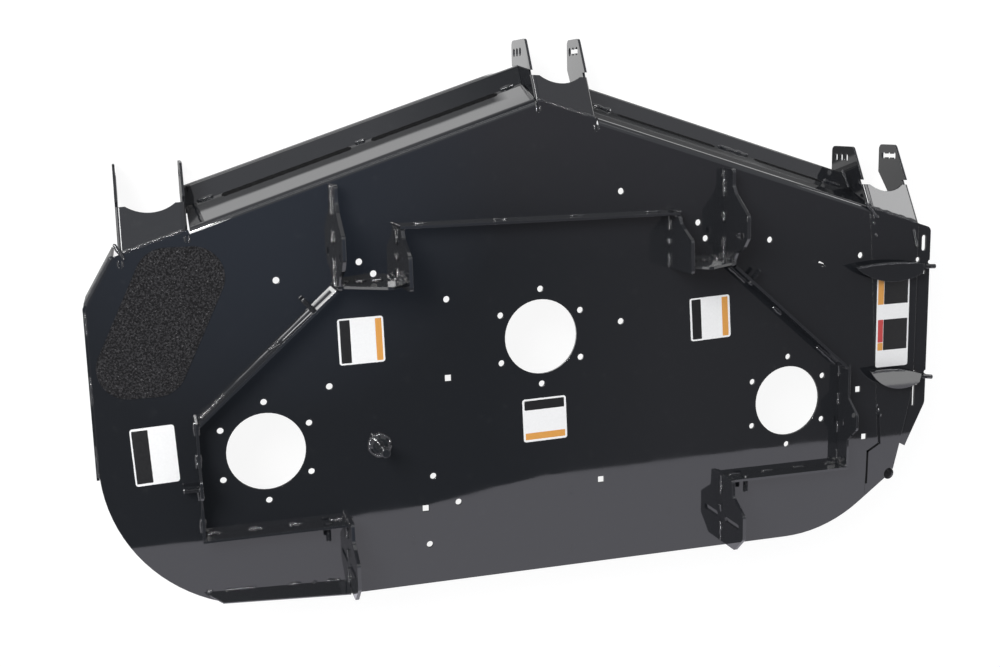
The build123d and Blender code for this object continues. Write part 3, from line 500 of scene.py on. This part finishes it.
def gritMaterial(name, colour, rough, shine):
    mat, nodeSet, links, shader = startMaterial(name)
    coords = nodeSet.new("ShaderNodeTexCoord").outputs["Object"]
    speck = noiseNode(nodeSet, links, coords, 900.0, 3.0, 0.6)
    fac = rangeNode(nodeSet, links, speck, 0.35, 0.75, 0.0, 1.0)
    brighter = tuple(min(1.0, 2.2 * c) for c in colour)
    speckled = colourMix(nodeSet, links, fac, colour, brighter)
    clump = noiseNode(nodeSet, links, coords, pad["clump"], 2.0, 0.5)
    worn = rangeNode(nodeSet, links, clump, 0.45, 0.62, 0.0, 1.0)
    deep = tuple(0.55 * c for c in colour)
    links.new(colourMix(nodeSet, links, worn, deep, speckled), shader.inputs["Base Color"])
    shader.inputs["Roughness"].default_value = rough
    links.new(rangeNode(nodeSet, links, clump, 0.42, 0.64, 0.3 * shine, shine), shader.inputs["Specular IOR Level"])
    return mat


padOutline, padMiddle = topOutline("grip_pad")
padPoly = [Vector(p) for p in padOutline]


def insidePad(x, y):
    for i, a in enumerate(padPoly):
        b = padPoly[(i + 1) % len(padPoly)]
        run = b - a
        if run.x * (y - a.y) - run.y * (x - a.x) < pad["inset"] * run.length:
            return False
    return True


rand = random.Random("grit")
bm = bmesh.new()
prism(bm, padOutline, 0.00002, pad["base"])
runBead(bm, [(p.x, p.y, 0.0004) for p in padPoly + padPoly[:1]], pad["rim"], "rim", 0.0)
lowX, highX = min(p.x for p in padPoly), max(p.x for p in padPoly)
lowY, highY = min(p.y for p in padPoly), max(p.y for p in padPoly)
placed = 0
while placed < pad["grains"]:
    x, y = rand.uniform(lowX, highX), rand.uniform(lowY, highY)
    if not insidePad(x, y):
        continue
    placed += 1
    size = rand.uniform(*pad["size"])
    turn = rand.uniform(0, math.pi)
    ring = [bm.verts.new((x + size * rand.uniform(0.7, 1.2) * math.cos(turn + k * math.pi / 2),
                          y + size * rand.uniform(0.7, 1.2) * math.sin(turn + k * math.pi / 2),
                          pad["base"] - 0.0001)) for k in range(4)]
    top = bm.verts.new((x + 0.3 * size * rand.uniform(-1, 1), y + 0.3 * size * rand.uniform(-1, 1),
                        pad["base"] + 0.55 * size))
    low = bm.verts.new((x, y, pad["base"] - 0.0003))
    # painted highlight: a share of the grains take the pale grit as glints
    index = 2 if rand.random() < pad["glint"] else 1
    for k in range(4):
        j = (k + 1) % 4
        bm.faces.new((ring[k], ring[j], top)).material_index = index
        bm.faces.new((ring[j], ring[k], low)).material_index = index
placePiece("gripPadGrit", meshFrom(bm, "gripPadGrit", False),
           [gritMaterial("padBed", pad["bed"], 0.7, 0.25), gritMaterial("darkGrit", pad["dark"], 0.35, 0.35),
            gritMaterial("glintPaintedGrit", pad["light"], 0.3, 0.5)], "grip_pad")
print("pad made with", placed, "grains")

# labels: a white film with plain colour fields, no words
film = {"thick": 0.00030, "ink": 0.00005, "round": 0.0012,
        "white": (0.97, 0.97, 0.965), "black": (0.010, 0.010, 0.011), "orange": (0.78, 0.36, 0.075),
        "red": (0.60, 0.060, 0.060)}


def inkMaterial(name, colour):
    mat, nodeSet, links, shader = startMaterial(name)
    coords = nodeSet.new("ShaderNodeTexCoord").outputs["Object"]
    mottle = noiseNode(nodeSet, links, coords, 240.0, 3.0, 0.6)
    fac = rangeNode(nodeSet, links, mottle, 0.3, 0.7, 0.0, 1.0)
    links.new(colourMix(nodeSet, links, fac, tuple(0.95 * c for c in colour), colour), shader.inputs["Base Color"])
    links.new(rangeNode(nodeSet, links, mottle, 0.3, 0.7, 0.28, 0.40), shader.inputs["Roughness"])
    return mat


inkOrder = ["white", "black", "orange", "red"]
inkMats = [inkMaterial("labelInk" + k.capitalize(), film[k]) for k in inkOrder]
# each field is left, right, bottom, top as shares of the label's width and height, then its ink
labelFields = {
    "label_left": (1.0, (0.082, 0.083), [(0.045, 0.27, 0.035, 0.965, 1), (0.82, 0.96, 0.04, 0.955, 2)]),
    "label_right": (2.7, (0.0835, 0.083), [(0.045, 0.275, 0.035, 0.965, 1), (0.80, 0.95, 0.04, 0.955, 2)]),
    "label_center": (1.4, (0.0855, 0.082), [(0.045, 0.955, 0.74, 0.96, 1), (0.045, 0.955, 0.05, 0.205, 2)]),
    "label_side": (2.4, (0.074, 0.1015), [(0.035, 0.40, 0.04, 0.96, 1)]),
    "label_discharge": (0.4, (0.0743, 0.1927), [(0.22, 0.955, 0.665, 0.985, 1), (0.035, 0.21, 0.665, 0.985, 2),
                                                (0.22, 0.955, 0.18, 0.505, 1), (0.05, 0.21, 0.265, 0.505, 3),
                                                (0.05, 0.21, 0.18, 0.26, 2)]),
}


def roundedBox(x0, x1, y0, y1, r):
    pts = []
    for cx, cy, start in ((x1 - r, y1 - r, 0), (x0 + r, y1 - r, 90), (x0 + r, y0 + r, 180), (x1 - r, y0 + r, 270)):
        for k in range(4):
            turn = math.radians(start + 30 * k)
            pts.append((cx + r * math.cos(turn), cy + r * math.sin(turn)))
    return pts


for n, (turnDeg, size, fields) in labelFields.items():
    outline, middle = topOutline(n)
    turn = math.radians(turnDeg)
    bm = bmesh.new()
    prism(bm, outline, 0.00002, film["thick"])
    for left, right, bottom, top, ink in fields:
        box = roundedBox((left - 0.5) * size[0], (right - 0.5) * size[0], (bottom - 0.5) * size[1],
                         (top - 0.5) * size[1], film["round"])
        turned = [(middle[0] + x * math.cos(turn) - y * math.sin(turn),
                   middle[1] + x * math.sin(turn) + y * math.cos(turn)) for x, y in box]
        prism(bm, turned, film["thick"] - 0.00002, film["thick"] + film["ink"], ink)
    parts = n.split("_")
    placePiece("film" + parts[1].capitalize(), meshFrom(bm, n + "Film", False), inkMats, n)
print("labels made")

# studs: a weld head and a threaded shank on each solid of the stud group
stud = {"shank": 0.00465, "core": 0.00395, "pitch": 0.0013, "sides": 20, "chamfer": 0.0011, "plain": 0.0085,
        "head": [(0.0, 0.0045), (0.0004, 0.0066), (0.0012, 0.0074), (0.0026, 0.0074), (0.0030, 0.0070)], "tip": 0.0034}


def islandsOf(mesh):
    bm = bmesh.new()
    bm.from_mesh(mesh)
    bmesh.ops.remove_doubles(bm, verts=bm.verts, dist=1e-6)
    left = set(bm.verts)
    out = []
    while left:
        stack = [left.pop()]
        group = []
        while stack:
            v = stack.pop()
            group.append(v.co.copy())
            for e in v.link_edges:
                w = e.other_vert(v)
                if w in left:
                    left.remove(w)
                    stack.append(w)
        out.append(group)
    bm.free()
    return out


def lathe(bm, base, axis, profile, sides):
    side = axis.cross(Vector((0, 0, 1))).normalized()
    up = side.cross(axis).normalized()
    rings = []
    for run, r in profile:
        centre = base + axis * run
        turns = [math.tau * k / sides for k in range(sides)]
        rings.append([bm.verts.new(centre + (side * math.cos(t) + up * math.sin(t)) * r) for t in turns])
    for r0, r1 in zip(rings, rings[1:]):
        for k in range(sides):
            j = (k + 1) % sides
            bm.faces.new((r0[k], r0[j], r1[j], r1[k]))
    bm.faces.new(list(reversed(rings[0])))
    bm.faces.new(rings[-1])


bm = bmesh.new()
studGroups = islandsOf(nodes["cover_studs"].data)
for group in studGroups:
    middle = sum(group, Vector()) / len(group)
    far = max(group, key=lambda p: (p - middle).xy.length)
    # the shank's end is the far end; its axis lies flat
    ends = [p for p in group if (p - far).length < 0.0125]
    tip = sum(ends, Vector()) / len(ends)
    others = [p for p in group if (p - far).length > 0.026]
    head = sum(others, Vector()) / len(others)
    axis = (tip - head)
    axis.z = 0
    axis.normalize()
    runsOn = [p.dot(axis) for p in group]
    start, stop = min(runsOn), max(runsOn)
    base = head + axis * (start - head.dot(axis))
    length = stop - start
    profile = stud["head"] + [(0.0030, stud["shank"])]
    run = stud["plain"]
    profile.append((run, stud["shank"]))
    while run < length - stud["chamfer"] - stud["pitch"]:
        profile.append((run + 0.25 * stud["pitch"], stud["core"]))
        profile.append((run + 0.75 * stud["pitch"], stud["shank"]))
        run += stud["pitch"]
    profile.append((length - 0.0002, stud["core"]))
    profile.append((length, stud["tip"]))
    lathe(bm, base, axis, profile, stud["sides"])
placePiece("coverStudThreads", meshFrom(bm, "coverStudThreads", False), [beadMat], "cover_studs")
print("studs made:", len(studGroups))

# floor: white to the camera, with a trace of the deck's shadow
floorLook = {"size": 12.0, "glow": 0.915, "colour": (0.16, 0.16, 0.16), "mirrorLeft": 1.45, "mirrorMid": 0.45,
             "leftX": 0.13, "midX": 0.17, "rightRise": 0.15, "riseX": (0.60, 0.68), "nearAhead": (0.1150, 0.1200),
             "nearLevel": 0.09, "nearX": (-0.06, -0.03), "lowAhead": (0.072, 0.078), "farY": (0.55, 0.75),
             "farLevel": 0.15,
             "farAhead": (0.140, 0.150), "farGlow": 4.5, "farEnd": (0.28, 0.32), "rightX": (0.14, 0.17, 0.70, 0.74)}


def floorMaterial():
    mat, nodeSet, links, shader = startMaterial("paleFloor")
    nodeSet.remove(shader)
    diffuse = nodeSet.new("ShaderNodeBsdfDiffuse")
    diffuse.inputs["Color"].default_value = (*floorLook["colour"], 1.0)
    glow = nodeSet.new("ShaderNodeEmission")
    path = nodeSet.new("ShaderNodeLightPath")
    coords = nodeSet.new("ShaderNodeTexCoord").outputs["Object"]
    axes = nodeSet.new("ShaderNodeSeparateXYZ")
    links.new(coords, axes.inputs[0])

    def maths(operation, first, second):
        return mathNode(nodeSet, links, operation, first, second)

    def ramp(axis, span, first, last):
        return rangeNode(nodeSet, links, axes.outputs[axis], span[0], span[1], first, last)

    # painted reflection: the floor's level in the gloss is set by place; it falls to the right, and a painted shadow
    # darkens it near the foot of the left front wall
    mirror = ramp("X", (floorLook["leftX"], floorLook["midX"]), floorLook["mirrorLeft"], floorLook["mirrorMid"])
    mirror = maths("ADD", mirror, ramp("X", floorLook["riseX"], 0.0, floorLook["rightRise"]))
    inward = maths("MULTIPLY", maths("ABSOLUTE", axes.outputs["X"], 0.0), math.tan(deck["sweep"]))
    ahead = maths("SUBTRACT", maths("ADD", axes.outputs["Y"], inward), deck["noseY"])
    ahead = maths("MULTIPLY", ahead, math.cos(deck["sweep"]))
    shaded = rangeNode(nodeSet, links, ahead, *floorLook["nearAhead"], floorLook["nearLevel"], 1.0)
    shaded = maths("MAXIMUM", shaded, ramp("X", floorLook["nearX"], 0.0, 1.0))
    # right of the nose: painted shadow dark near the wall, then a paler painted band
    thin = rangeNode(nodeSet, links, ahead, *floorLook["lowAhead"], 1.0, floorLook["nearLevel"])
    band = maths("MULTIPLY", rangeNode(nodeSet, links, ahead, *floorLook["farAhead"], 0.0, floorLook["farGlow"]),
                 rangeNode(nodeSet, links, ahead, *floorLook["farEnd"], 1.0, 0.2))
    edges = floorLook["rightX"]
    atRight = maths("MULTIPLY", ramp("X", edges[:2], 0.0, 1.0), ramp("X", edges[2:], 1.0, 0.0))
    change = maths("MULTIPLY", maths("SUBTRACT", maths("MAXIMUM", thin, band), 1.0), atRight)
    shaded = maths("MULTIPLY", maths("ADD", shaded, change), ramp("Y", floorLook["farY"], 1.0, floorLook["farLevel"]))
    mirrored = maths("MULTIPLY", maths("MULTIPLY", mirror, shaded), path.outputs["Is Glossy Ray"])
    seen = maths("MAXIMUM", path.outputs["Is Camera Ray"], path.outputs["Is Transmission Ray"])
    direct = rangeNode(nodeSet, links, seen, 0.0, 1.0, 0.0, floorLook["glow"])
    links.new(maths("ADD", direct, mirrored), glow.inputs["Strength"])
    both = nodeSet.new("ShaderNodeAddShader")
    links.new(diffuse.outputs[0], both.inputs[0])
    links.new(glow.outputs[0], both.inputs[1])
    links.new(both.outputs[0], nodeSet["Material Output"].inputs["Surface"])
    return mat


def flatPanel(name, corners, mat):
    mesh = bpy.data.meshes.new(name)
    mesh.from_pydata([tuple(c) for c in corners], [], [tuple(range(len(corners)))])
    mesh.materials.append(mat)
    obj = bpy.data.objects.new(name, mesh)
    scene.collection.objects.link(obj)
    return obj


half = floorLook["size"] / 2
flatPanel("studioFloor", [(-half, -half, deck["floorZ"]), (half, -half, deck["floorZ"]),
                          (half, half, deck["floorZ"]), (-half, half, deck["floorZ"])], floorMaterial())

# white cards round the deck, seen only in the gloss
cards = {
    "rearCard": (0.87, [(-1.2, -0.465, -0.15), (-1.2, -0.465, 0.43), (-0.62, -0.465, 0.433), (-0.408, -0.465, 0.455),
                        (-0.26, -0.465, 0.486), (-0.113, -0.465, 0.499), (0.0255, -0.465, 0.558), (0.2086, -0.465, 0.626),
                        (0.574, -0.465, 0.644), (1.006, -0.465, 0.655), (1.15, -0.465, 0.640), (1.6, -0.465, 0.640),
                        (1.6, -0.465, -0.15)]),
    "frontLowStrip": (3.0, [(-1.5, 2.4, 1.62), (2.2, 2.4, 1.62), (2.2, 2.4, 1.80), (-1.5, 2.4, 1.80)]),
    "frontHighStrip": (3.0, [(-1.5, 2.4, 3.3), (2.2, 2.4, 3.3), (2.2, 2.4, 3.7), (-1.5, 2.4, 3.7)]),
    "lensCard": (24.0, [(-0.72, 0.40, 2.15), (-0.55, 0.40, 2.15), (-0.55, 0.57, 2.15), (-0.72, 0.57, 2.15)]),
    "leftCard": (1.5, [(-3.0, -1.6, 1.0), (-3.0, 0.6, 1.0), (-3.0, 0.6, 2.8), (-3.0, -1.6, 2.8)]),
    "rightCard": (4.0, [(3.4, -2.0, 0.7), (3.4, 0.0, 0.7), (3.4, 0.0, 2.0), (3.4, -2.0, 2.0)]),
    "glintCard": (150.0, [(-1.3, 1.0, 2.6), (-0.88, 1.0, 2.6), (-0.88, 1.5, 2.6), (-1.3, 1.5, 2.6)]),
    "bendCard": (14.0, [(-2.58, 2.22, 0.4), (-2.22, 2.58, 0.4), (-2.22, 2.58, 1.6), (-2.58, 2.22, 1.6)]),
    "keyCard": (7.5, [(-2.567, 1.682, 2.177), (-2.119, 2.221, 2.177), (-1.633, 1.818, 2.823),
                      (-2.081, 1.279, 2.823)]),
    "chuteCard": (2.2, [(1.85, -1.04, 1.75), (2.25, -1.04, 1.75), (2.25, -1.04, 2.15), (1.85, -1.04, 2.15)]),
}
cardTint = {"rearCard": (1.0, 0.985, 1.08)}
# along X from, to, and the level at the start; the fillet's shine dies out along the rib
cardFade = {"keyCard": (-2.5, -1.75, 0.6)}
for name, (level, corners) in cards.items():
    cardMat, cardNodes, cardLinks, cardShader = startMaterial(name)
    cardNodes.remove(cardShader)
    cardGlow = cardNodes.new("ShaderNodeEmission")
    cardGlow.inputs["Strength"].default_value = level
    if name in cardTint:
        cardGlow.inputs["Color"].default_value = (*cardTint[name], 1.0)
    if name in cardFade:
        start, stop, least = cardFade[name]
        spot = cardNodes.new("ShaderNodeSeparateXYZ")
        cardLinks.new(cardNodes.new("ShaderNodeTexCoord").outputs["Object"], spot.inputs[0])
        fade = rangeNode(cardNodes, cardLinks, spot.outputs["X"], start, stop, least, level)
        cardLinks.new(fade, cardGlow.inputs["Strength"])
    cardLinks.new(cardGlow.outputs[0], cardNodes["Material Output"].inputs["Surface"])
    card = flatPanel(name, corners, cardMat)
    card.visible_camera = False
    card.visible_diffuse = False
    card.visible_shadow = False
    card.visible_transmission = False

lamps = {
    "keyLeft": {"place": (-2.2, 1.6, 2.6), "aim": (0, 0, 0), "size": 1.8, "power": 110.0, "inGloss": False},
    "sideBox": {"place": (3.03, 1.93, 0.96), "aim": (0.6, 0.2, 0), "size": 0.62, "power": 4.5, "inGloss": True},
}
for name, lamp in lamps.items():
    data = bpy.data.lights.new(name, "AREA")
    data.size = lamp["size"]
    data.energy = lamp["power"]
    obj = bpy.data.objects.new(name, data)
    scene.collection.objects.link(obj)
    obj.location = lamp["place"]
    obj.visible_glossy = lamp["inGloss"]
    obj.rotation_euler = (Vector(lamp["aim"]) - Vector(lamp["place"])).to_track_quat("-Z", "Y").to_euler()

# room: even and pale for soft light; in the gloss it is dark above, paler to the sides and low down
sky = {"soft": (0.46, 0.465, 0.48), "top": (0.043, 0.049, 0.057), "topRight": (0.125, 0.122, 0.130),
       "rightX": (0.26, 0.40), "nearFront": (0.205, 0.195, 0.215), "nearY": (-0.12, -0.02),
       "side": (0.42, 0.43, 0.45), "sideX": (-0.10, -0.05),
       "sideY": (0.03, 0.09), "front": (0.44, 0.44, 0.46), "low": 0.36, "high": 0.62,
       "door": (0.10, 0.10, 0.10), "doorX": 0.09, "doorHalf": (0.10, 0.20),
       "glow": (0.15, 0.19, 0.27), "glowAt": (0.085, -0.041, 0.995), "glowEdge": 0.978}
world = bpy.data.worlds.new("studioRoom")
scene.world = world
world.use_nodes = True
worldNodes, worldLinks = world.node_tree.nodes, world.node_tree.links
coords = worldNodes.new("ShaderNodeTexCoord").outputs["Generated"]
split = worldNodes.new("ShaderNodeSeparateXYZ")
worldLinks.new(coords, split.inputs[0])


def skyRange(axis, span, first=0.0, last=1.0):
    return rangeNode(worldNodes, worldLinks, split.outputs[axis], span[0], span[1], first, last)


def skyMaths(operation, first, second):
    return mathNode(worldNodes, worldLinks, operation, first, second)


above = colourMix(worldNodes, worldLinks, skyRange("X", sky["rightX"]), sky["top"], sky["topRight"])
above = colourMix(worldNodes, worldLinks, skyRange("Y", sky["nearY"]), above, sky["nearFront"])
toGlow = worldNodes.new("ShaderNodeVectorMath")
toGlow.operation = "DOT_PRODUCT"
worldLinks.new(coords, toGlow.inputs[0])
toGlow.inputs[1].default_value = sky["glowAt"]
near = rangeNode(worldNodes, worldLinks, toGlow.outputs["Value"], sky["glowEdge"], 1.0, 0.0, 1.0)
above = colourMix(worldNodes, worldLinks, near, above, sky["glow"])
aside = skyMaths("MAXIMUM", skyRange("X", sky["sideX"], 1.0, 0.0), skyRange("Y", sky["sideY"]))
above = colourMix(worldNodes, worldLinks, aside, above, sky["side"])
offDoor = skyMaths("ABSOLUTE", skyMaths("SUBTRACT", split.outputs["X"], sky["doorX"]), 0.0)
ahead = colourMix(worldNodes, worldLinks, rangeNode(worldNodes, worldLinks, offDoor, *sky["doorHalf"], 0.0, 1.0),
                  sky["door"], sky["front"])
gloss = colourMix(worldNodes, worldLinks, skyRange("Z", (sky["low"], sky["high"])), ahead, above)
path = worldNodes.new("ShaderNodeLightPath")
softOrGloss = colourMix(worldNodes, worldLinks, path.outputs["Is Glossy Ray"], sky["soft"], gloss)
seenWorld = colourMix(worldNodes, worldLinks, path.outputs["Is Camera Ray"], softOrGloss, (1.0, 1.0, 1.0))
worldLinks.new(seenWorld, worldNodes["Background"].inputs["Color"])
print("light and floor set")
